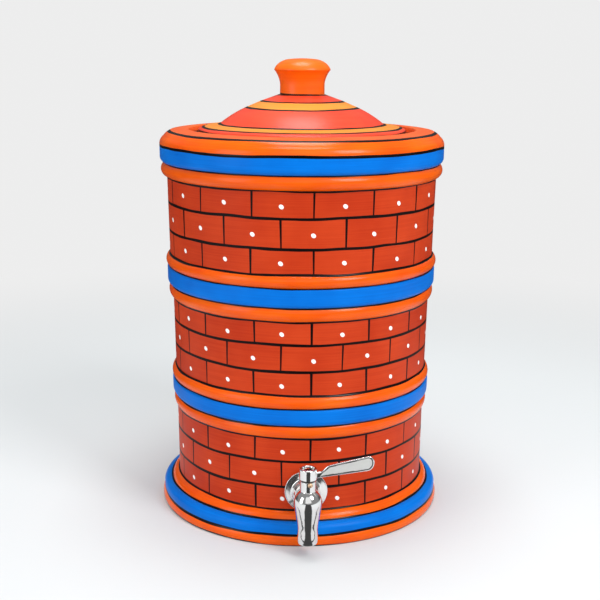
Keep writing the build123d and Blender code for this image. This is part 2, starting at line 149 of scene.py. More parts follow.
class Shader:
    """A material, or the world, under construction."""

    def __init__(self, name, owner=None):
        self.material = owner or bpy.data.materials.new(name)
        self.material.use_nodes = True
        self.tree = self.material.node_tree
        self.tree.nodes.clear()

    def node(self, kind, settings=None, inputs=None, output=0):
        """Any node: its settings first, then numbers, colours or links for its sockets."""
        made = self.tree.nodes.new(kind)
        for key, setting in (settings or {}).items():
            setattr(made, key, setting)
        for key, given in (inputs or {}).items():
            if isinstance(given, Value):
                self.tree.links.new(given.socket, made.inputs[key])
            else:
                made.inputs[key].default_value = given
        return Value(self, made.outputs[output]) if made.outputs else None

    def ray(self, kind):
        """1 for one kind of ray, Camera or Glossy, and 0 for others."""
        return self.node("ShaderNodeLightPath", output=f"Is {kind} Ray")

    def place(self):
        """Where a point is on the object, in metres."""
        return self.node("ShaderNodeTexCoord", output="Object")

    def split(self, vector):
        """The three numbers of a vector or a colour."""
        first = self.node("ShaderNodeSeparateXYZ", inputs={0: vector})
        return [Value(self, socket) for socket in first.socket.node.outputs]

    def noise(self, size, detail=2.0, stretch=(1, 1, 1), roughness=0.5):
        """Noise whose blots are about the given size in metres, stretched along the axes."""
        scale = [1 / (size * share) for share in stretch]
        where = self.node("ShaderNodeMapping", inputs={"Vector": self.place(), "Scale": scale})
        return self.node("ShaderNodeTexNoise", inputs={
            "Vector": where, "Scale": 1.0, "Detail": detail, "Roughness": roughness})

    def mix(self, factor, low, high):
        """A colour between two, by a factor from 0 to 1."""
        return self.node("ShaderNodeMix", {"data_type": "RGBA"}, {0: factor, 6: low, 7: high}, output=2)

    def bump(self, height, distance, strength=1.0):
        """A normal bent by a height that is given in metres times the distance."""
        return self.node("ShaderNodeBump", inputs={
            "Height": height, "Distance": distance, "Strength": strength})

    def finish(self, **sockets):
        """The Principled surface, with socket names written with underscores."""
        inputs = {key.replace("_", " "): given for key, given in sockets.items()}
        surface = self.node("ShaderNodeBsdfPrincipled", inputs=inputs)
        self.node("ShaderNodeOutputMaterial", inputs={"Surface": surface})
        return self.material


# %% [markdown]
# ## Three soft lamps
# Painted clay needs large, soft lamps: small ones would put hard sparks on every bead.
# Area lamps do what a photographer's soft boxes do. The key stands to the right in
# front, a weaker fill to the left, and one hangs overhead to light the tops of beads.

# %% Lamps
# Each lamp's place and its width and height, in metres, and its watts
PANELS = {
    "key_panel": ((0.75, -0.90, 1.15), (0.5, 0.7), 11.8),
    "fill_panel": ((-1.15, -0.75, 0.60), (0.6, 1.1), 4.8),
    "top_panel": ((0.0, 0.05, 1.45), (0.5, 0.7), 9.5),
}
jar_low, jar_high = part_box("jar_body")
jar_middle = (0, 0, (jar_low.z + jar_high.z) / 2)


def panel_light(name, place, size, watts):
    """A rectangular lamp at a place, turned to face the middle of the jar."""
    data = bpy.data.lights.new(name, "AREA")
    data.shape = "RECTANGLE"
    data.size, data.size_y = size
    data.energy = watts
    lamp = bpy.data.objects.new(name, data)
    bpy.context.scene.collection.objects.link(lamp)
    lamp.location = place
    aside, ahead, rise = np.array(jar_middle) - np.array(place)
    flat = math.hypot(aside, ahead)
    lamp.rotation_euler = (math.atan2(flat, -rise), 0, math.atan2(-aside, ahead))


for panel_name, panel in PANELS.items():
    panel_light(panel_name, *panel)
print(len(PANELS), "lamps aimed at", jar_middle)

# %% [markdown]
# ## The room
# Glossy paint and polished metal show their surroundings, so the room matters as much
# as the lamps. A wrapped picture of a studio could give it, but soft zones are easier to
# set. The walls are pale to matt paint and darker to glossy rays, so that the enamel
# keeps its colour. A bright patch in front gives a sheen. Low in front, where the
# photographer stands, and low behind it is dark, for the dark parts of the metal.

# %% Room
ROOM_LIGHT = 0.62
MIRROR_LIGHT = 0.28
SOFT_LIGHT = 1.30
DARK_LIGHT = 0.10
BACKDROP = 0.85
# Half widths of the zones in front, and the dark one's turn
SOFT_HALF_DEG = 26.0
GAP_HALF_DEG = 27.0
GAP_TURN_DEG = 2.0
SECTOR_BLUR = 0.03
# Where zones begin and end, as the upward or backward part of a direction
GAP_TOP = (0.02, 0.10)
BACK_START = (0.05, 0.40)
BACK_TOP = (0.15, 0.45)
SOFT_START = (0.10, 0.20)
SOFT_TOP = (0.80, 0.90)


def front_sector(x, y, turn_deg, half_deg):
    """1 where the direction (x, y) is near the front f: (x, y) . f / |(x, y)| > cos(half)."""
    turn = math.radians(turn_deg)
    ahead = (x * -math.sin(turn) + y * -math.cos(turn)) / (x * x + y * y + TINY).sum("SQRT")
    edge = math.cos(math.radians(half_deg))
    return ahead.ramp(edge - SECTOR_BLUR, edge + SECTOR_BLUR)


def white_room():
    """The level in every direction, for matt and glossy rays, and the camera's backdrop."""
    world = bpy.data.worlds.new("white_room")
    bpy.context.scene.world = world
    room = Shader("white_room", world)
    x, y, z = room.split(room.node("ShaderNodeTexCoord", output="Generated"))
    glossy_ray = room.ray("Glossy")
    gap = front_sector(x, y, GAP_TURN_DEG, GAP_HALF_DEG) * (1.0 - z.ramp(*GAP_TOP))
    behind = y.ramp(*BACK_START) * (1.0 - z.ramp(*BACK_TOP))
    soft = front_sector(x, y, 0.0, SOFT_HALF_DEG) * z.ramp(*SOFT_START) * (1.0 - z.ramp(*SOFT_TOP))
    walls = glossy_ray * (MIRROR_LIGHT - ROOM_LIGHT) + ROOM_LIGHT
    lit = walls + soft * (SOFT_LIGHT - ROOM_LIGHT)
    level = lit + gap.sum("MAXIMUM", behind) * (DARK_LIGHT - lit)
    around = room.node("ShaderNodeBackground", inputs={"Strength": level, "Color": grey(1)})
    backdrop = room.node("ShaderNodeBackground", inputs={"Color": grey(BACKDROP)})
    camera_ray = room.ray("Camera")
    light = room.node("ShaderNodeMixShader", inputs={0: camera_ray, 1: around, 2: backdrop})
    room.node("ShaderNodeOutputWorld", inputs={"Surface": light})


white_room()
bpy.context.scene.view_settings.view_transform = "Standard"

# %% [markdown]
# ## The floor and its dark cards
# The floor is white paper that keeps the jar's soft shadow and blends into the backdrop
# far back, so no edge shows. Black cards give polished metal its lines. Real ones would
# stand in the picture, so the floor carries them for glossy rays alone: one begins in
# front of the tap and widens forwards, and two thin ones run out to both sides.

# %% Floor
FLOOR_HALF = 9.0
PAPER_DEEP = (0.65, 0.68, 0.69, 1)
PAPER_PALE = (0.68, 0.71, 0.72, 1)
MOTTLE_SIZE = 0.4
BLEND = (0.35, 1.1)
BULB_R = 11.6
CARD_LIGHT = 0.06
CARD_START = (0.007, 0.013)
CARD_HALF_WIDTH = 0.012
CARD_SPREAD = 0.38
CARD_BLUR = 0.004
THIN_START = 0.035
THIN_SLOPE = 0.35
THIN_HALF = 0.004
THIN_BLUR = 0.002
THIN_END = (0.10, 0.12)
DARK_FLOOR = (0.05, 0.40)

tap_axis_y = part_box("tap_body")[0].y + BULB_R * MM


def floor_finish():
    """Matt white paper, even far from the jar, with dark cards that only glossy rays see."""
    paper = Shader("studio_floor")
    colour = paper.mix(paper.noise(MOTTLE_SIZE, detail=1.0), PAPER_DEEP, PAPER_PALE)
    lit = paper.node("ShaderNodeBsdfDiffuse", inputs={"Color": colour})
    even = paper.node("ShaderNodeEmission", inputs={"Color": grey(BACKDROP)})
    x, y, _ = paper.split(paper.place())
    distance = (x * x + y * y).sum("SQRT")
    camera_ray = paper.ray("Camera")
    surface = paper.node("ShaderNodeMixShader", inputs={
        0: distance.ramp(*BLEND) * camera_ray, 1: lit, 2: even})
    ahead = tap_axis_y - y
    aside = abs(x)
    off_card = aside - ahead * CARD_SPREAD - CARD_HALF_WIDTH
    card = (1.0 - off_card.ramp(-CARD_BLUR, CARD_BLUR)) * ahead.ramp(*CARD_START)
    off_thin = abs(ahead + aside * THIN_SLOPE - THIN_START) - THIN_HALF
    thin = (1.0 - off_thin.ramp(-THIN_BLUR, THIN_BLUR)) * (1.0 - aside.ramp(*THIN_END))
    unlit = card.sum("MAXIMUM", thin).sum("MAXIMUM", y.ramp(*DARK_FLOOR))
    glossy_ray = paper.ray("Glossy")
    dark = paper.node("ShaderNodeEmission", inputs={"Color": grey(CARD_LIGHT)})
    surface = paper.node("ShaderNodeMixShader", inputs={0: unlit * glossy_ray, 1: surface, 2: dark})
    paper.node("ShaderNodeOutputMaterial", inputs={"Surface": surface})
    return paper.material


floor_mesh = bpy.data.meshes.new("studio_floor")
floor_corners = [(x * FLOOR_HALF, y * FLOOR_HALF, 0) for x, y in ((-1, -1), (1, -1), (1, 1), (-1, 1))]
floor_mesh.from_pydata(floor_corners, [], [(0, 1, 2, 3)])
floor = bpy.data.objects.new("studio_floor", floor_mesh)
bpy.context.scene.collection.objects.link(floor)
floor_mesh.materials.append(floor_finish())
print("cards laid in front of y =", round(tap_axis_y, 4))

# %% [markdown]
# ## The pot's outline
# A potter checks a turned jar against a profile board. The outline here is the same
# idea: straight runs and bends from the ground up, then over the rim and down the
# inside. A curve object could hold it too, but each part between two drawn lines has to
# carry the name of its paint, and a list of points does that simply.

# %% Outline helper


class Outline:
    """A turned profile in millimetres, as radius and height, with a paint for each part."""

    def __init__(self, radius, height):
        self.rows = [np.array([[radius, height]], float)]
        self.paints = []
        self.row_parts = []

    def part(self, paint):
        """Start a part between two drawn lines."""
        self.paints.append(paint)
        return self

    def extend(self, points):
        """Add rows to the part that is being drawn."""
        self.rows.append(points)
        self.row_parts += [len(self.paints) - 1] * len(points)
        return self

    def line(self, radius, height, step=2.6):
        """A straight run from the last point: start + t (end - start)."""
        start, end = self.rows[-1][-1], np.array([radius, height], float)
        count = max(1, round(np.linalg.norm(end - start) / step))
        share = np.arange(1, count + 1)[:, None] / count
        return self.extend(start + share * (end - start))

    def bend(self, radius, height, bulge, step=1.25):
        """A circular arc that stands the given bulge outside its chord.

        With half chord c and bulge b, the radius is (c^2 + b^2) / 2b and the arc spans
        4 atan(b / c). Out is to the right of the way that the outline is drawn.
        """
        start, end = self.rows[-1][-1], np.array([radius, height], float)
        half = np.linalg.norm(end - start) / 2
        along = (end - start) / (2 * half)
        out = np.array([along[1], -along[0]])
        arc_radius = (half ** 2 + bulge ** 2) / (2 * bulge)
        turn = 2 * math.atan(bulge / half)
        count = max(3, round(abs(arc_radius * turn) * 2 / step))
        angle = (np.linspace(-turn, turn, count + 1)[1:])[:, None]
        middle = (start + end) / 2 + out * (bulge - arc_radius)
        return self.extend(middle + arc_radius * (along * np.sin(angle) + out * np.cos(angle)))

    def curve(self, points, steps=10, start_way=None, end_way=None):
        """A smooth run through points p with slopes w, in cubic Hermite spans:

        (2t^3 - 3t^2 + 1) p0 + (t^3 - 2t^2 + t) w0 + (3t^2 - 2t^3) p1 + (t^3 - t^2) w1.
        """
        knots = np.vstack([self.rows[-1][-1], np.array(points, float)])
        ways = np.gradient(knots, axis=0)
        if start_way:
            ways[0] = np.array(start_way, float)
        if end_way:
            ways[-1] = np.array(end_way, float)
        t = (np.arange(1, steps + 1) / steps)[:, None]
        spans = [(2 * t ** 3 - 3 * t ** 2 + 1) * knots[k] + (t ** 3 - 2 * t ** 2 + t) * ways[k]
                 + (3 * t ** 2 - 2 * t ** 3) * knots[k + 1] + (t ** 3 - t ** 2) * ways[k + 1]
                 for k in range(len(knots) - 1)]
        return self.extend(np.vstack(spans))


# %% [markdown]
# ## From an outline to a surface
# Blender's Screw modifier could turn the outline, but the paint has to know more than
# that keeps. So the rows are taken round as whole arrays, and the mesh keeps the
# painter's measures: how far round a point is, counted in bricks, and how many
# millimetres it is from the line below and from the line above.

# %% Surface helper
BRICKS_ROUND = 15
BRICK_STRETCH = math.radians(1.4)
BRICK_PHASE = 0.20
WAVES_ROUND = (2, 3, 5)
WAVE_RISE_MM = 40
POLE_CLEAR_MM = 10.0
FINISHES = {}


def link_piece(mesh, body, *nodes_replaced):
    """Put a finished mesh into the scene, riding on its body and standing for its nodes."""
    mesh.validate()
    mesh.shade_smooth()
    piece = bpy.data.objects.new(mesh.name, mesh)
    bpy.context.scene.collection.objects.link(piece)
    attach(piece, body)
    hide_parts(*nodes_replaced)
    print(mesh.name, len(mesh.polygons), "faces")
    return piece


def mesh_of_faces(name, points, corners, totals):
    """A mesh from points, the corner list of all faces and each face's corner count."""
    mesh = bpy.data.meshes.new(name)
    mesh.vertices.add(len(points))
    mesh.vertices.foreach_set("co", np.asarray(points, np.float32).ravel())
    mesh.loops.add(len(corners))
    mesh.loops.foreach_set("vertex_index", np.asarray(corners, np.int32))
    mesh.polygons.add(len(totals))
    starts = np.concatenate([[0], np.cumsum(totals)[:-1]])
    mesh.polygons.foreach_set("loop_start", starts.astype(np.int32))
    mesh.update(calc_edges=True)
    return mesh


def bricks_at(angle):
    """How many bricks round an angle a is: (a - e sin a) / 24 degrees, less a phase.

    The painter spaced the front by eye, so its bricks are a little longer there.
    """
    seen = angle + round_angle
    return (seen - BRICK_STRETCH * np.sin(seen)) * BRICKS_ROUND / (2 * np.pi) - BRICK_PHASE


def hand_wave(size, seed):
    """Unevenness of hand work: the sum of cos(n a + phase + lean cos(z / 40 + rise)) / n."""
    draw = np.random.default_rng(seed)
    terms = [(waves, *draw.uniform(0, 2 * np.pi, 3)) for waves in WAVES_ROUND]

    def relief(angle, height):
        return size * sum(
            np.cos(waves * angle + phase + lean * np.cos(height / WAVE_RISE_MM + rise)) / waves
            for waves, phase, rise, lean in terms)
    return relief


def on_jar_axis(x, y, height):
    """The jar's own upright axis."""
    return x, y, height


def paint_measures(mesh, outline, rows, angle, keep):
    """Keep each corner's distances along the outline and its bricks round, and each paint."""
    parts = np.array(outline.row_parts)
    length = np.concatenate([[0], np.cumsum(np.linalg.norm(np.diff(rows, axis=0), axis=1))])
    part_low = np.array([length[:-1][parts == k].min() for k in range(len(outline.paints))])
    part_high = np.array([length[1:][parts == k].max() for k in range(len(outline.paints))])
    # A pole isn't the edge of a zone, so the last zone's end is moved out of a line's reach
    part_high[-1] += POLE_CLEAR_MM * (rows[-1, 0] < TINY)
    rise = np.stack([length[:-1], length[:-1], length[1:], length[1:]], axis=-1)[:, None, :]
    bricks = bricks_at(angle)
    round_count = np.stack([bricks[:-1], bricks[1:], bricks[1:], bricks[:-1]], axis=-1)[None]
    from_low = rise - part_low[parts][:, None, None]
    to_high = part_high[parts][:, None, None] - rise
    measures = np.stack(np.broadcast_arrays(round_count, from_low, to_high), axis=-1)[keep]
    paint = mesh.attributes.new("paint", "FLOAT_VECTOR", "CORNER")
    paint.data.foreach_set("vector", measures.astype(np.float32).ravel())
    columns = len(angle) - 1
    course = mesh.attributes.new("course", "FLOAT", "FACE")
    course.data.foreach_set("value", np.repeat(parts, columns).astype(np.float32))
    slots = list(dict.fromkeys(outline.paints))
    slot_of_part = np.array([slots.index(paint_name) for paint_name in outline.paints])
    for paint_name in slots:
        mesh.materials.append(FINISHES[paint_name])
    face_slots = np.repeat(slot_of_part[parts], columns).astype(np.int32)
    mesh.polygons.foreach_set("material_index", face_slots)


def turned_mesh(name, outline, columns, relief=None, place=on_jar_axis):
    """A surface of revolution: the point of row i at angle a is (r sin a, -r cos a, z).

    A profile that ends where it began is closed into a ring, and one that ends on the
    axis is closed by a pole. The relief adds to the radius at an angle and a height.
    """
    rows = np.vstack(outline.rows)
    angle = np.linspace(-np.pi, np.pi, columns + 1)
    pole = rows[:, 0] < TINY
    ring = bool(np.allclose(rows[0], rows[-1])) and not pole[0]
    firsts = np.concatenate([[0], np.cumsum(np.where(pole, 1, columns))[:-1]])
    radius = np.repeat(rows[:, :1], columns, axis=1)
    if relief:
        radius = radius + np.where(pole[:, None], 0, relief(angle[:-1], rows[:, 1:]))
    height = np.broadcast_to(rows[:, 1:], radius.shape)
    grid = np.stack(place(radius * np.sin(angle[:-1]), -radius * np.cos(angle[:-1]), height), axis=-1)
    keep_point = ~pole[:, None] | (np.arange(columns) == 0)
    index = firsts[:, None] + np.where(pole[:, None], 0, np.arange(columns + 1) % columns)
    if ring:
        keep_point[-1] = False
        index[-1] = index[0]
    low, high = index[:-1], index[1:]
    faces = np.stack([low[:, :-1], low[:, 1:], high[:, 1:], high[:, :-1]], axis=-1)
    keep = np.ones(faces.shape, bool)
    keep[pole[:-1], :, 1] = False
    keep[pole[1:], :, 3] = False
    mesh = mesh_of_faces(name, grid[keep_point] * MM, faces[keep], keep.sum(axis=-1).ravel())
    paint_measures(mesh, outline, rows, angle, keep)
    return mesh


print("a brick is", 360 / BRICKS_ROUND, "degrees long")

# %% [markdown]
# ## Brushed enamel on fired clay
# Each zone is filled with a wide brush while the jar turns, so the enamel keeps fine
# streaks that run round it. Then the lines are drawn over the joins with black: they
# are steady, but drift a little and change in width. A wrapped image could carry this,
# but its lines would blur in a close view. The mesh knows how far each point is from
# its lines, so the shader can draw them sharp anywhere.

# %% Painted clay
LINE_BLACK = srgb(12, 4, 4)
LINE_HALF_MM = 1.20
LINE_DRIFT_MM = 2.8
DRIFT_RUN_MM = 55.0
DRIFT_STEP = 7.3
WIDTH_CHANGE_MM = 0.9
WIDTH_RUN_MM = 30.0
WIDTH_RISE = 150.0
PAINT_EDGE_MM = (-0.14, 0.14)
STREAK_MM = 0.9
STREAK_RUN_MM = 60.0
STREAK_STEP = 31.7


class ClayPaint(Shader):
    """A paint shader that knows the drawn lines on both sides of a point."""

    def __init__(self, name):
        super().__init__(name)
        measures = self.node("ShaderNodeAttribute", {"attribute_name": "paint"}, output="Vector")
        self.bricks, self.from_low, self.to_high = self.split(measures)
        self.course = self.node("ShaderNodeAttribute", {"attribute_name": "course"}, output="Fac")
        self.x, self.y, self.z = self.split(self.place())

    def join(self, x, y, z):
        """A vector from three numbers."""
        return self.node("ShaderNodeCombineXYZ", inputs={0: x, 1: y, 2: z})

    def round_noise(self, run_mm, height, detail=1.0):
        """Noise that runs round the form: long along the turning, fine across it."""
        scale = 1 / (run_mm * MM)
        where = self.join(self.x * scale, self.y * scale, height)
        return self.node("ShaderNodeTexNoise", inputs={"Vector": where, "Scale": 1.0, "Detail": detail})

    def drift(self, line_number):
        """How far a drawn line has wandered, in millimetres."""
        return (self.round_noise(DRIFT_RUN_MM, line_number * DRIFT_STEP) - 0.5) * LINE_DRIFT_MM

    def lines(self, line_half):
        """1 on the drawn lines at both edges of the part, 0 elsewhere."""
        below = abs(self.from_low - self.drift(self.course))
        above = abs(self.to_high + self.drift(self.course + 1.0))
        change = self.round_noise(WIDTH_RUN_MM, self.z * WIDTH_RISE) * WIDTH_CHANGE_MM
        half = change + (line_half - WIDTH_CHANGE_MM / 2)
        return 1.0 - (below.sum("MINIMUM", above) - half).ramp(*PAINT_EDGE_MM)

    def streaks(self):
        """Brush streaks from 0 to 1, which follow the turning on walls and on flat tops."""
        height = (self.from_low + self.course * STREAK_STEP) * (1 / STREAK_MM)
        return self.round_noise(STREAK_RUN_MM, height, detail=3.0)


print("drawn lines are about", LINE_HALF_MM * 2, "mm wide")

# %% [markdown]
# ## Bricks and dots
# The painter rules the joints of a course between its two lines and then sets a dot on
# each brick with the side of the brush, so the dots are ovals that lean. The 135 bricks
# could be drawn one by one, but white noise makes no two alike in a few nodes: from the
# number of a brick or a joint it gives chance numbers for place, slant and shade.

# %% Brick courses
BRICK_MM = 48.5
SPACING_MM = 2.4
JOINT_HALF_MM = 0.52
JOINT_CHANGE_MM = 0.35
JOINT_TAPER = 0.014
JOINT_SLANT_MM = 0.8
JOINT_SLANT_RUN_MM = 20.0
JOINT_SHORT_MM = 0.8
JOINT_END_MM = 0.1
DOT_WHITE = srgb(255, 253, 250)
DOT_LONG_MM = 2.1
DOT_SHORT_MM = 1.7
DOT_RAISE_MM = 1.1
DOT_RISE_MM = 2.0
DOT_EDGE = (0.90, 1.08)
DOT_DRAW = 5.0


class BrickPaint(ClayPaint):
    """Clay paint with a course of bricks, begun at a share of a brick."""

    def __init__(self, name, shift):
        super().__init__(name)
        self.across = self.bricks + shift

    def chance(self, index, draw=0.0):
        """Three random numbers that belong to a brick or a joint of a course."""
        cell = self.join(index.sum("WRAP", float(BRICKS_ROUND), 0.0), self.course, draw)
        return self.split(self.node("ShaderNodeTexWhiteNoise", {"noise_dimensions": "3D"},
                                    {0: cell}, output="Color"))

    def joints(self):
        """1 on the joints: lines that lean, widen upwards and start a little late."""
        joint = self.across.sum("ROUND")
        lean, slope, weight = self.chance(joint)
        slant = (self.from_low * (1 / JOINT_SLANT_RUN_MM) - 0.5) * (slope - 0.5) * JOINT_SLANT_MM
        off = abs((self.across - joint) * BRICK_MM + (lean - 0.5) * SPACING_MM + slant)
        half = self.from_low * JOINT_TAPER + weight * JOINT_CHANGE_MM + JOINT_HALF_MM
        start = weight * JOINT_SHORT_MM
        reach = self.from_low.ramp(start - JOINT_END_MM, start + JOINT_END_MM)
        return (1.0 - (off - half).ramp(*PAINT_EDGE_MM)) * reach

    def dots(self):
        """1 on the dots, where (u / long)^2 + (v / short)^2 < 1, and each brick's chance.

        The ways u and v lie at 45 degrees to the course.
        """
        cell = self.across.sum("FLOOR")
        shift_x, shift_z, shade = self.chance(cell, DOT_DRAW)
        side = (self.across - cell - 0.5) * BRICK_MM + (shift_x - 0.5) * SPACING_MM
        rise = (self.from_low - self.to_high) * 0.5 + DOT_RAISE_MM + (shift_z - 0.5) * DOT_RISE_MM
        long_way = (side - rise) * (math.sqrt(0.5) / DOT_LONG_MM)
        short_way = (side + rise) * (math.sqrt(0.5) / DOT_SHORT_MM)
        reach = (long_way * long_way + short_way * short_way).sum("SQRT")
        return 1.0 - reach.ramp(*DOT_EDGE), shade


print("dots", DOT_LONG_MM * 2, "by", DOT_SHORT_MM * 2, "mm")

# %% [markdown]
# ## The paints of this jar
# Each paint is one enamel between two shades. One material for the whole jar could
# choose its colour by height, but one for each paint is easier to read and to change.
# Paint lies a little proud, so lines and dots also raise the surface.

# %% Clay finishes
ENAMEL_ROUGHNESS = 0.34
ENAMEL_SHINE = 0.30
ENAMEL_BUMP = 0.7
GLOSS_CHANGE = 0.16
CLOUD_MM = 38
STREAK_TONE = 0.9
CLOUD_TONE = 1.3
SHADE_TONE = 0.35
STREAK_RELIEF = 0.05
CLOUD_RELIEF = 0.10
MARK_RELIEF = 0.10
DOT_RELIEF = 0.30
CLAY_DEEP = srgb(170, 92, 60)
CLAY_PALE = srgb(203, 126, 88)
CLAY_FLECK = srgb(120, 62, 42)
CLAY_ROUGHNESS = 0.86
CLAY_BUMP = 0.6
GRAIN_MM = 1.1
FLECK_EDGE = (0.60, 0.75)
RIDGE_MM = 3.2
RIDGE_RUN_MM = 90.0


def enamel(name, deep, bright, shift=None, roughness=ENAMEL_ROUGHNESS, shine=ENAMEL_SHINE,
           line_half=LINE_HALF_MM):
    """Brushed enamel between two shades, with its drawn lines and, with a shift, bricks."""
    has_bricks = shift is not None
    paint = BrickPaint(name, shift) if has_bricks else ClayPaint(name)
    streak = paint.streaks()
    cloud = paint.noise(CLOUD_MM * MM)
    tone = (streak - 0.5) * STREAK_TONE + (cloud - 0.5) * CLOUD_TONE + 0.5
    marks = paint.lines(line_half)
    if has_bricks:
        marks = marks.sum("MAXIMUM", paint.joints())
        dots, shade = paint.dots()
        tone = tone + (shade - 0.5) * SHADE_TONE
    ground = paint.mix(tone.sum("MINIMUM", 1.0).sum("MAXIMUM", 0.0), deep, bright)
    colour = paint.mix(marks, ground, LINE_BLACK)
    height = streak * STREAK_RELIEF + cloud * CLOUD_RELIEF + marks * MARK_RELIEF
    if has_bricks:
        colour = paint.mix(dots, colour, DOT_WHITE)
        height = height + dots * DOT_RELIEF
    gloss = (streak - 0.5) * GLOSS_CHANGE + roughness
    return paint.finish(Base_Color=colour, Roughness=gloss, Specular_IOR_Level=shine,
                        Normal=paint.bump(height, MM, ENAMEL_BUMP))


def bare_clay(name):
    """Unpainted terracotta: fine grain, darker flecks and the ridges left by fingers."""
    clay = ClayPaint(name)
    grain = clay.noise(GRAIN_MM * MM, detail=4.0, roughness=0.65)
    cloud = clay.noise(30 * MM, detail=3.0)
    ridge = clay.round_noise(RIDGE_RUN_MM, clay.z * (1 / (RIDGE_MM * MM)), detail=2.0)
    colour = clay.mix(cloud, CLAY_DEEP, CLAY_PALE)
    colour = clay.mix(grain.ramp(*FLECK_EDGE), colour, CLAY_FLECK)
    height = grain * 0.10 + ridge * 0.5
    return clay.finish(Base_Color=colour, Roughness=CLAY_ROUGHNESS,
                       Normal=clay.bump(height, MM, CLAY_BUMP))


BRICK_RED = {"deep": srgb(180, 46, 12), "bright": srgb(206, 67, 26), "roughness": 0.42, "shine": 0.12}
FINISHES.update({
    "orange": enamel("orange_enamel", srgb(230, 72, 0), srgb(244, 104, 0), roughness=0.22, shine=0.25),
    "blue": enamel("blue_enamel", srgb(0, 98, 196), srgb(0, 122, 224), shine=0.08),
    "bricks": enamel("brick_enamel", shift=0.0, **BRICK_RED),
    "half_bricks": enamel("brick_enamel_half_step", shift=0.5, **BRICK_RED),
    "rim_orange": enamel("rim_top_enamel", srgb(224, 82, 28), srgb(238, 106, 44), line_half=1.9),
    "coral": enamel("coral_enamel", srgb(218, 52, 28), srgb(236, 80, 52), line_half=1.35),
    "yellow": enamel("yellow_enamel", srgb(228, 130, 34), srgb(240, 152, 60), line_half=1.35),
    # The flange's darker red is painted shade for the sunk ledge round the lid's edge.
    "flange_painted_shade": enamel("flange_enamel_painted_shade", srgb(196, 66, 26), srgb(222, 84, 40)),
    # The knob's orange is yellower and lighter than the jar's: painted light for its brightly lit cap.
    "knob_orange": enamel("knob_enamel_painted_light", srgb(238, 86, 0), srgb(250, 116, 0), shine=0.35),
    "bare": bare_clay("bare_clay"),
})
print(len(FINISHES), "clay finishes")

# %% [markdown]
# ## The jar
# The jar is one thrown pot. Its two raised groups each have a low bead, a blue band
# that stands proudest, and a top bead. The rim repeats them, but rolls over into a flat
# top with a sunk ledge where the lid sits. Beads could be rings laid on a cylinder, but
# on the wheel they are pulled from the wall, so they are bends in its outline. The
# inside is left as bare clay, as it has to be if the water is to cool.

# %% Jar
JAR_COLUMNS = 288
WALL_MM = 9.0
FOOT_WALL_R = 112.4
LOW_WALL_R = 113.2
MID_WALL_R = 113.9
MID_TOP_R = 115.2
TOP_WALL_R = 117.6
RIM_WALL_R = 119.0
RIM_R = 125.2
RIM_LINE_R = 117.5
GALLERY_R = 99.6
MOUTH_R = 89.9
FOOT_TOP_Z = 26.4
LOW_WALL_TOP_Z = 90.2
LOW_GROUP_TOP_Z = 127.4
MID_WALL_TOP_Z = 190.7
MID_GROUP_TOP_Z = 229.7
TOP_WALL_TOP_Z = 298.0
RIM_TOP_Z = 338.6
LEDGE_Z = 331.5
GROOVE_OUT = 0.4
BAND_OUT = 3.6
CAP_GROOVE_OUT = 1.4
CAP_OUT = 3.45


def brick_courses(outline, radius, low, tops, end_r):
    """Three courses of bricks up a wall that opens a little as it rises."""
    for paint_name, top in zip(("bricks", "half_bricks", "bricks"), tops):
        share = (top - low) / (tops[-1] - low)
        radius += share * (end_r - radius)
        outline.part(paint_name).line(radius, top)
        low = top


def raised_group(outline, base_r, groove_z, cap_z, end_r, end_z, bead_out):
    """A low bead, the proud blue band and a top bead."""
    middle = (base_r + end_r) / 2
    groove_r, cap_r = middle + GROOVE_OUT, middle + CAP_GROOVE_OUT
    outline.part("orange").bend(groove_r, groove_z, base_r + bead_out - (base_r + groove_r) / 2)
    outline.part("blue").bend(middle + BAND_OUT - 0.1, groove_z + 4.5, 0.9)
    outline.line(middle + BAND_OUT, cap_z - 1.9)
    outline.bend(middle + BAND_OUT - 0.9, cap_z - 0.4, 0.35).line(cap_r, cap_z)
    outline.part("orange").bend(end_r, end_z, end_r + CAP_OUT - (cap_r + end_r) / 2)


jar = Outline(0, 0)
jar.part("bare").line(FOOT_WALL_R + 14.3, 0, step=6.0)
jar.part("orange").bend(FOOT_WALL_R + 13.6, 9.2, 1.5)
jar.part("blue").line(FOOT_WALL_R + 14.0, 10.6).line(FOOT_WALL_R + 14.0, 14.4)
jar.bend(FOOT_WALL_R + 6.4, 19.2, 1.8)
jar.part("orange").bend(FOOT_WALL_R, FOOT_TOP_Z, 1.4)
brick_courses(jar, FOOT_WALL_R, FOOT_TOP_Z, (46.8, 69.7, LOW_WALL_TOP_Z), LOW_WALL_R)
raised_group(jar, LOW_WALL_R, 101.5, 116.1, MID_WALL_R, LOW_GROUP_TOP_Z, 2.7)
brick_courses(jar, MID_WALL_R, LOW_GROUP_TOP_Z, (148.4, 171.1, MID_WALL_TOP_Z), MID_TOP_R)
raised_group(jar, MID_TOP_R, 202.6, 218.9, TOP_WALL_R, MID_GROUP_TOP_Z, 3.6)
brick_courses(jar, TOP_WALL_R, MID_GROUP_TOP_Z, (251.2, 275.9, TOP_WALL_TOP_Z), RIM_WALL_R)
jar.part("orange").bend(RIM_WALL_R + 2.2, 310.0, 4.2)
jar.part("blue").bend(RIM_R - 0.1, 314.5, 0.9).line(RIM_R, 325.0)
jar.part("orange").bend(RIM_R - 3.4, 332.6, 1.1).bend(RIM_LINE_R, 336.4, 0.35)
jar.part("rim_orange").line(RIM_LINE_R - 1.5, 337.2).bend(GALLERY_R + 1.6, RIM_TOP_Z, 0.2)
jar.bend(GALLERY_R, RIM_TOP_Z - 1.3, 0.4, step=0.6).line(GALLERY_R, LEDGE_Z)
jar.part("bare").line(MOUTH_R + 2.5, LEDGE_Z).bend(MOUTH_R, LEDGE_Z - 2.5, 0.73).line(MOUTH_R, 317.5)
jar.line(RIM_WALL_R - WALL_MM - 6, 302.0, step=3.0).line(RIM_WALL_R - WALL_MM, 292.0, step=3.0)
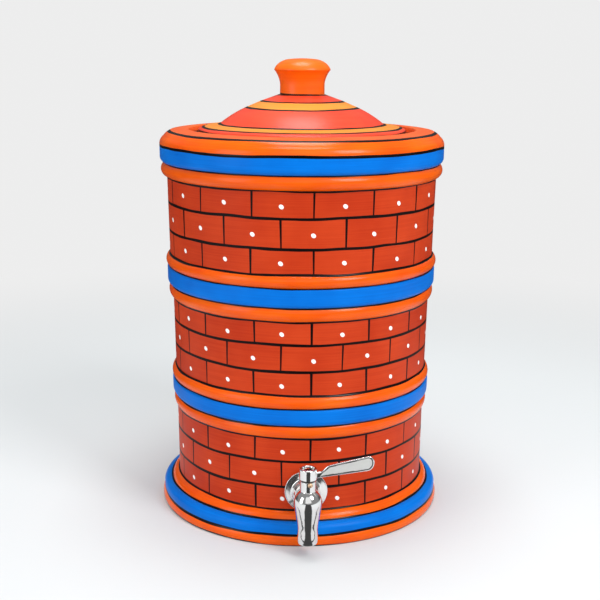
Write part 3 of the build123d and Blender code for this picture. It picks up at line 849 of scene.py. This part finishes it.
jar.line(FOOT_WALL_R - WALL_MM, 28.0, step=7.0).line(FOOT_WALL_R - WALL_MM - 4.7, 16.7, step=3.0)
jar.line(FOOT_WALL_R - WALL_MM - 16, 12.0, step=3.0).line(0, 12.0, step=8.0)
jar_mesh = turned_mesh("painted_jar", jar, JAR_COLUMNS, hand_wave(0.12, 5))
jar_piece = link_piece(jar_mesh, "jar", "jar_body")

# %% [markdown]
# ## The lid
# The lid is a second turning. Its edge is sunk inside the rim's ledge, and a low cone
# rises from a step. It is drawn from its own axis out to the edge and back, because it
# is hollow below: a flat disc would look the same when shut, but not when it is lifted.

# %% Lid
LID_R = 98.1
LID_EDGE_R = 91.4

lid = Outline(0, 355.2)
lid.part("bare").line(41.5, 355.2, step=4.0).line(64.3, 331.6, step=3.0).line(88.4, 331.5, step=4.0)
lid.line(LID_R, LEDGE_Z)
# The lid's outer step sits down in the rim's ledge; its darker red is painted shade for that recess.
lid.part("flange_painted_shade").line(LID_R, 332.4, step=0.5).line(LID_EDGE_R + 1.0, 333.0, step=1.5)
lid.bend(LID_EDGE_R, 334.0, -0.3, step=0.5).line(LID_EDGE_R, 336.6, step=0.8)
lid.part("coral").bend(LID_EDGE_R - 2.2, 339.3, 0.6, step=0.5).line(86.9, 340.4)
lid.part("yellow").line(72.3, 342.6)
lid.part("coral").bend(49.5, 356.7, 0.9)
lid.part("yellow").line(36.2, 362.4)
lid.part("coral").line(20.6, 368.0)
lid.part("bare").line(0, 368.0, step=5.0)
lid_mesh = turned_mesh("painted_lid", lid, 240, hand_wave(0.08, 8))
lid_piece = link_piece(lid_mesh, "lid_set", "lid")

# %% [markdown]
# ## The knob
# The potter pulls the mushroom knob's neck in with a wet finger, which leaves one long
# curve, and trims the cap with a sharp lower edge, for grip. A curve through a few
# points follows that better than arcs would.

# %% Knob
knob = Outline(0, 368.1)
knob.part("bare").line(19.2, 368.1, step=4.0)
knob.part("knob_orange").bend(19.6, 368.6, 0.12, step=0.4).line(19.5, 375.6, step=1.5)
knob.curve([(19.9, 379.4), (21.0, 382.9), (22.5, 386.1), (24.2, 388.6)], steps=6, start_way=(0.1, 3.8))
knob.bend(24.6, 389.5, 0.2, step=0.3)
knob.curve([(23.7, 391.4), (21.7, 393.9), (17.8, 396.5), (12.0, 398.2), (0, 398.9)], steps=7,
           start_way=(-0.4, 1.6), end_way=(-9.0, 0))
knob_mesh = turned_mesh("painted_knob", knob, 144, hand_wave(0.10, 12))
knob_piece = link_piece(knob_mesh, "lid_set", "lid_knob")

# %% [markdown]
# ## Polished metal and seals
# The tap is cast, ground and chromium plated. Plating is mirror bright, but the metal
# beneath was polished on a soft wheel, so the reflections wander. Roughness would dull
# the mirror, while a shallow, wide bump bends it and leaves it bright. The seals are
# soft and matt.

# %% Metal and seals
ROLL_MM = 4.5
CUT_MM = 0.35
SMEAR_MM = 7
SMEAR_DARK = 0.86


def metal(name, tint, roughness, roll_mm=0.0, grain_mm=0.0, worn=0.0, metallic=1.0):
    """Bare or plated metal: slow rolls from polishing and, if cut, a fine grain."""
    plate = Shader(name)
    roll = plate.noise(ROLL_MM * MM)
    grain = plate.noise(CUT_MM * MM, stretch=(1, 1, 6))
    smear = plate.noise(SMEAR_MM * MM, detail=3.0)
    dark = (*[SMEAR_DARK * channel for channel in tint[:3]], 1.0)
    colour = plate.mix(smear, dark, tint)
    height = roll * roll_mm + grain * grain_mm
    gloss = (smear - 0.5) * worn + roughness
    return plate.finish(Base_Color=colour, Metallic=metallic, Roughness=gloss,
                        Normal=plate.bump(height, MM))


def soft_ring(name, low, high, roughness):
    """Silicone or rubber: a matt skin with faint bloom and moulding grain."""
    skin = Shader(name)
    colour = skin.mix(skin.noise(3 * MM, detail=3.0), low, high)
    grain = skin.noise(0.4 * MM)
    return skin.finish(Base_Color=colour, Roughness=roughness, Normal=skin.bump(grain * 0.03, MM))


FINISHES.update({
    "chrome": metal("plated_casting", (0.90, 0.90, 0.89, 1), 0.055, roll_mm=0.10, worn=0.04),
    "disc_chrome": metal("plated_pressing", (0.91, 0.91, 0.90, 1), 0.10, roll_mm=0.03, worn=0.06),
    "satin": metal("satin_panel", (0.74, 0.74, 0.72, 1), 0.55, grain_mm=0.03, worn=0.10, metallic=0.45),
    # Near-black metal: painted shade for the narrow gaps round the lever's hub and for the step of the
    # arm's panel.
    "painted_shade": metal("painted_shade_metal", grey(0.08), 0.45, grain_mm=0.02),
    "steel": metal("turned_steel", (0.60, 0.60, 0.59, 1), 0.30, grain_mm=0.03, worn=0.15),
    "brass": metal("turned_brass", (0.90, 0.62, 0.40, 1), 0.50, grain_mm=0.02, worn=0.10),
    "silicone": soft_ring("white_silicone", srgb(214, 212, 204), srgb(232, 230, 224), 0.55),
    "rubber": soft_ring("black_rubber", srgb(18, 18, 18), srgb(36, 35, 34), 0.6),
})

KEPT_NODES = {
    "outer_washer": "silicone", "inner_washer": "silicone", "port_seal": "silicone",
    "stem_o_rings": "rubber", "backing_washer": "steel", "lock_nut": "steel",
    "spindle": "steel", "spring_washer": "steel", "hub_screw": "chrome",
}
for node_name, finish_name in KEPT_NODES.items():
    node_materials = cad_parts[node_name].data.materials
    node_materials.clear()
    node_materials.append(FINISHES[finish_name])
print(len(KEPT_NODES), "small parts keep the frame's shapes")

# %% [markdown]
# ## The tap's casting
# A jar tap is a small plug valve. Water comes through the shank, meets the plug in the
# barrel and falls out of the spout. Outside, the spout swells upwards into a bulb and
# then steps in to the barrel. It could be pulled from a box and smoothed, but every
# section is round, so it is turned about its upright axis, and hollow. A dark wall on
# top of the barrel is painted shade, which draws the gap below the lever.

# %% Tap casting
TAP_Y = 145.033
TAP_Z = 45.0
BARREL_R = 6.42
BARREL_TOP_Z = 66.4
GAP_LOW_Z = 66.9
BORE_R = 5.0


def on_tap_axis(x, y, height):
    """The tap's upright axis, in front of the jar."""
    return x, y - TAP_Y, height


casting = Outline(4.2, 38.5)
casting.part("chrome").line(4.2, 33.0, 1.0).line(6.0, 33.0, 0.6).line(6.0, 12.6, 1.5)
casting.bend(6.5, 12.0, 0.12, 0.2).line(7.2, 12.0, 0.4)
casting.curve([(8.25, 13.6), (8.65, 17.0), (8.55, 21.5), (8.5, 26.0), (9.35, 32.0), (10.65, 40.0),
               (BULB_R, 47.3), (10.2, 53.2), (6.75, 57.3)],
              steps=9, start_way=(2.6, 0.4), end_way=(-4.4, 3.2))
casting.line(BARREL_R, 57.6, 0.2).line(BARREL_R, BARREL_TOP_Z - 0.4, 0.7)
casting.bend(6.1, BARREL_TOP_Z, 0.1, 0.15).line(5.9, BARREL_TOP_Z, 0.2)
# A dark ring of painted shade on top of the barrel, for the gap below the hub.
casting.part("painted_shade").line(5.9, GAP_LOW_Z, 0.3)
casting.part("chrome").line(BORE_R, GAP_LOW_Z, 0.4).line(BORE_R, 38.5, 1.5).line(4.2, 38.5, 0.5)
casting_mesh = turned_mesh("tap_casting", casting, 144, place=on_tap_axis)
casting_piece = link_piece(casting_mesh, "jar", "tap_body")

# %% [markdown]
# ## The tap's neck
# The neck and the shank are one rod on a level axis, so they are a second turning. At
# its front the neck flares where it runs into the bulb, as the fillet of a casting
# does, which hides the seam between the two. The thread could be bump alone, but cut
# into the shape it has true edges.

# %% Tap neck
SHANK_BACK = 87.8
DISC_FRONT = 114.833
NOSE_FRONT = 123.033
SHANK_R = 8.0
THREAD_PITCH = 1.5
THREAD_DEPTH = 0.55
THREAD_START = SHANK_BACK + 1.2
THREAD_END = DISC_FRONT - 1.5


def along_shank(x, y, height):
    """A level axis through the wall at the tap's height, pointing out of the front."""
    return x, -height, TAP_Z + y


def shank_thread(angle, height):
    """A screw thread: the depth times a triangle wave of height / pitch - turns."""
    turns = (height / THREAD_PITCH - angle / (2 * np.pi)) % 1.0
    threaded = (height > THREAD_START) & (height < THREAD_END)
    return -THREAD_DEPTH * threaded * np.abs(2 * turns - 1)


neck = Outline(0, 138.0)
neck.part("chrome").line(4.5, 138.0, 1.5).line(4.5, SHANK_BACK, 3.0).line(7.1, SHANK_BACK, 0.8)
neck.line(SHANK_R, SHANK_BACK + 1.0, 0.4).line(SHANK_R, DISC_FRONT, 0.25).line(SHANK_R, NOSE_FRONT, 1.0)
neck.line(9.0, NOSE_FRONT, 0.4).bend(9.4, NOSE_FRONT + 0.4, 0.1, 0.15).line(9.4, NOSE_FRONT + 2.0, 0.5)
neck.bend(9.0, NOSE_FRONT + 2.4, 0.1, 0.15).line(8.2, NOSE_FRONT + 2.5, 0.3)
neck.curve([(7.6, NOSE_FRONT + 3.3), (7.6, 131.0), (8.3, 134.5), (10.4, 138.0)],
           steps=6, end_way=(2.4, 2.0))
neck.line(0, 138.5, 2.0)
neck_mesh = turned_mesh("tap_neck", neck, 96, shank_thread, place=along_shank)
neck_piece = link_piece(neck_mesh, "jar", "tap_body")

# %% [markdown]
# ## The wall disc
# The disc is pressed from thin sheet. Its flat ring faces the viewer and stays bright,
# while the flare inside it turns sideways and mirrors the red wall. A flat plate with a
# bump could not do that, so the flare is real form. It hides the soft seal.

# %% Disc
disc = Outline(8.2, 122.0)
disc.part("disc_chrome").curve([(9.0, 119.0), (12.4, 116.3), (16.9, 115.3)], steps=7)
disc.line(17.0, DISC_FRONT, 0.3).line(17.8, DISC_FRONT, 0.4).line(18.0, 115.1, 0.2)
disc.line(18.0, 116.0, 0.4).bend(17.4, 116.5, 0.16, 0.15).line(12.9, 117.15, 0.8)
disc.curve([(11.6, 118.3), (10.6, 120.4), (9.45, 122.6)], steps=7, start_way=(-1.6, 0.1))
disc.bend(9.0, NOSE_FRONT, 0.12, 0.15).line(8.2, NOSE_FRONT, 0.4).line(8.2, 122.0, 0.5)
disc_mesh = turned_mesh("wall_disc", disc, 144, place=along_shank)
disc_piece = link_piece(disc_mesh, "jar", "escutcheon")

# %% [markdown]
# ## The lever's hub
# The hub sits on the barrel with a narrow dark gap, and its top is sunk for the screw.
# It could be a cylinder with bevels, but a turned outline gives each edge its own
# rounding: soft outside, where hands touch it, and sharper in the recess.

# %% Lever hub
HUB_R = 7.25
HUB_TOP_Z = 77.1
HUB_LOW_Z = 67.1
SKIRT_Z = 68.1

hub = Outline(4.3, HUB_LOW_Z)
# The hub's underside and lowest ring are dark: painted shade for the gap over the barrel.
hub.part("painted_shade").line(6.0, HUB_LOW_Z, 0.6).line(6.0, SKIRT_Z, 0.3)
hub.part("chrome").line(7.0, SKIRT_Z, 0.3).bend(HUB_R, SKIRT_Z + 0.3, 0.1, 0.15)
hub.line(HUB_R, HUB_TOP_Z - 1.0, 0.9).bend(HUB_R - 0.9, HUB_TOP_Z, 0.26, 0.2)
hub.line(5.7, HUB_TOP_Z, 0.25).bend(5.25, 76.7, 0.1, 0.15).line(5.0, 75.9, 0.3).line(4.95, 73.9, 0.7)
hub.bend(4.6, 73.5, -0.1, 0.15).line(4.3, 73.5, 0.2).line(4.3, HUB_LOW_Z, 1.6)
hub_mesh = turned_mesh("lever_hub", hub, 180, place=on_tap_axis)
hub_piece = link_piece(hub_mesh, "lever_set", "lever")

# %% [markdown]
# ## The stop pin
# A brass pin goes through the barrel into a groove of the stem, so only its domed head
# shows. It stays with the barrel when the lever turns. A round outline on the pin's own
# axis is all that it takes.

# %% Stop pin
PIN_TURN_DEG = 12.0
PIN_Z = 64.7
PIN_R = 1.0
PIN_START = 5.3
PIN_SEAT = 6.2
PIN_HEAD_R = 2.0


def along_pin(x, y, height):
    """A level axis that leaves the barrel a little to the right of the front."""
    turn = math.radians(PIN_TURN_DEG)
    across = x * math.cos(turn) + height * math.sin(turn)
    out = x * math.sin(turn) - height * math.cos(turn)
    return across, out - TAP_Y, PIN_Z + y


pin = Outline(0, PIN_START)
pin.part("brass").line(PIN_R, PIN_START, 0.4).line(PIN_R, PIN_SEAT, 0.4)
pin.line(PIN_HEAD_R, PIN_SEAT, 0.3).line(PIN_HEAD_R, 7.2, 0.3).bend(0, 8.4, 0.35, 0.15)
pin_mesh = turned_mesh("stop_pin_bead", pin, 48, place=along_pin)
pin_piece = link_piece(pin_mesh, "jar", "stop_pin")

# %% [markdown]
# ## The lever's arm
# The arm is flat, with a round edge, a flat rim and a sunk panel that is left plain.
# A boolean cut would leave sharp, uneven faces, so the arm is two skins over one
# outline. Each point knows how far it is from the edge, and that sets the thickness:
# first the rounding, then the rim, then the step down, where a dark metal draws a line
# of painted shade.

# %% Arm outline
ARM_ROOT_X = 5.8
ARM_TIP_X = 53.6
ARM_ROUND_X = 48.3
ARM_LOW_Z = 68.4
ARM_LOW_X = 6.95
ARM_SLOPE = math.tan(math.radians(8.0))
ROOT_H = 5.3
SHOULDER_X = (9.6, 17.6)
PADDLE_X = 17.3
PADDLE_H = 9.6
PADDLE_GROWTH = 2.8 / 29.86
EDGE_POINTS = 200
TIP_POINTS = 160


def smooth_step(values, low, high):
    """0 below low, 1 above high, 3t^2 - 2t^3 between."""
    t = np.clip((values - low) / (high - low), 0, 1)
    return t * t * (3 - 2 * t)


def arm_edges(x):
    """Lower and upper edge at x: a narrow root, a shoulder, a paddle and an elliptic tip."""
    low = ARM_LOW_Z + (x - ARM_LOW_X) * ARM_SLOPE
    paddle = PADDLE_H + (np.minimum(x, ARM_ROUND_X) - PADDLE_X) * PADDLE_GROWTH
    width = ROOT_H + (paddle - ROOT_H) * smooth_step(x, *SHOULDER_X)
    tip = np.clip((x - ARM_ROUND_X) / (ARM_TIP_X - ARM_ROUND_X), 0, 1)
    half = width / 2 * np.sqrt(1 - tip ** 2)
    middle = low + width / 2
    return middle - half, middle + half


def edge_distance(x, z):
    """The distance in millimetres from each point to the nearest point of the outline."""
    around = np.sin(np.linspace(0, np.pi / 2, TIP_POINTS))
    outline_x = np.concatenate([np.linspace(0, ARM_ROUND_X, EDGE_POINTS),
                                ARM_ROUND_X + (ARM_TIP_X - ARM_ROUND_X) * around])
    low, high = arm_edges(outline_x)
    edge = np.concatenate([np.stack([outline_x, low], -1), np.stack([outline_x, high], -1)])
    points = np.stack([x, z], -1).reshape(-1, 1, 2)
    return np.linalg.norm(points - edge, axis=-1).min(axis=1).reshape(x.shape)


# %% Lever arm
ARM_EDGE = 0.8
ROOT_EXTRA = 0.6
ROOT_FADE_X = (7.0, 16.0)
PANEL_INSET = 1.5
PANEL_STEP = 0.25
PANEL_DEPTH = 0.4
PANEL_START_X = 8.8
PANEL_START_BLUR = (-0.5, 0.5)
PANEL_LEAN = 0.75
PANEL_MARGIN = 0.1
# Half width of the dark line of painted shade along the panel's step
PAINTED_SHADE_HALF = 0.30
ARM_STATIONS = 170
ARM_ACROSS = 48
TIP_CROWDING = 1.35


def arm_grid():
    """Points over the outline: stations crowd towards the tip, columns towards the edges."""
    share = np.linspace(0, 1, ARM_STATIONS)
    x = ARM_ROOT_X + (ARM_TIP_X - ARM_ROOT_X) * (1 - (1 - share) ** TIP_CROWDING)
    across = np.sin(np.linspace(-np.pi / 2, np.pi / 2, ARM_ACROSS + 1))
    low, high = arm_edges(x)
    grid_x = np.repeat(x[:, None], ARM_ACROSS + 1, axis=1)
    return grid_x, (low + high)[:, None] / 2 + (high - low)[:, None] / 2 * across


def arm_faces():
    """Quads of both skins, the triangles round the tip and the root's end face.

    The last station is one point, the tip, and the back skin shares both edges.
    """
    rows, width = ARM_STATIONS - 1, ARM_ACROSS + 1
    front_index = np.arange(rows * width).reshape(rows, width)
    back_inner = rows * width + np.arange(rows * (width - 2)).reshape(rows, width - 2)
    back_index = np.concatenate([front_index[:, :1], back_inner, front_index[:, -1:]], axis=1)
    tip_index = rows * width + rows * (width - 2)
    quads, tips = [], []
    for index, turn in ((front_index, 1), (back_index, -1)):
        faces = np.stack([index[:-1, :-1], index[1:, :-1], index[1:, 1:], index[:-1, 1:]], -1)
        quads.append(faces.reshape(-1, 4)[:, ::turn])
        last = np.stack([index[-1, :-1], np.full(width - 1, tip_index), index[-1, 1:]], -1)
        tips.append(last[:, ::turn])
    root = np.concatenate([front_index[0], back_index[0, -2:0:-1]])
    corners = np.concatenate([np.vstack(quads).ravel(), np.vstack(tips).ravel(), root])
    totals = [np.full(2 * len(quads[0]), 4), np.full(2 * (width - 1), 3), [len(root)]]
    return corners, np.concatenate(totals)


def arm_mesh():
    """Two skins at y = -/+ t, where t = h sqrt(1 - (1 - d / h)^2) at d from the edge.

    The front skin is set back by the panel's depth, past the panel's inset and start.
    """
    grid_x, grid_z = arm_grid()
    inset = edge_distance(grid_x, grid_z)
    inset[:, 0] = inset[:, -1] = inset[-1] = 0
    half = ARM_EDGE + ROOT_EXTRA * (1 - smooth_step(grid_x, *ROOT_FADE_X))
    rounding = np.sqrt(np.clip(1 - (1 - np.clip(inset / half, 0, 1)) ** 2, 0, 1)) * half
    from_start = grid_x - PANEL_START_X - (grid_z - ARM_LOW_Z) * PANEL_LEAN
    step = smooth_step(inset, PANEL_INSET - PANEL_STEP, PANEL_INSET + PANEL_STEP)
    sunk = PANEL_DEPTH * step * smooth_step(from_start, *PANEL_START_BLUR)
    front = np.stack([grid_x, -rounding + sunk, grid_z], -1)
    back = np.stack([grid_x, rounding, grid_z], -1)[:, 1:-1]
    points = np.vstack([front[:-1].reshape(-1, 3), back[:-1].reshape(-1, 3), front[-1, :1]])
    points[:, 1] -= TAP_Y
    corners, totals = arm_faces()
    mesh = mesh_of_faces("lever_arm", points * MM, corners, totals)
    for finish in ("chrome", "satin", "painted_shade"):
        mesh.materials.append(FINISHES[finish])
    face_inset = (inset[:-2, :-1] + inset[1:-1, 1:]) / 2
    past_start = (from_start[:-2, :-1] + from_start[1:-1, 1:]) > 0
    in_panel = (face_inset > PANEL_INSET + PANEL_MARGIN) & past_start
    # Faces along the panel's step take the dark painted shade.
    in_groove = (abs(face_inset - PANEL_INSET) < PAINTED_SHADE_HALF) & past_start
    slots = np.zeros(len(totals), np.int32)
    slots[:in_panel.size] = np.where(in_groove, 2, in_panel).ravel()
    mesh.polygons.foreach_set("material_index", slots)
    return mesh


arm_piece = link_piece(arm_mesh(), "lever_set", "lever")
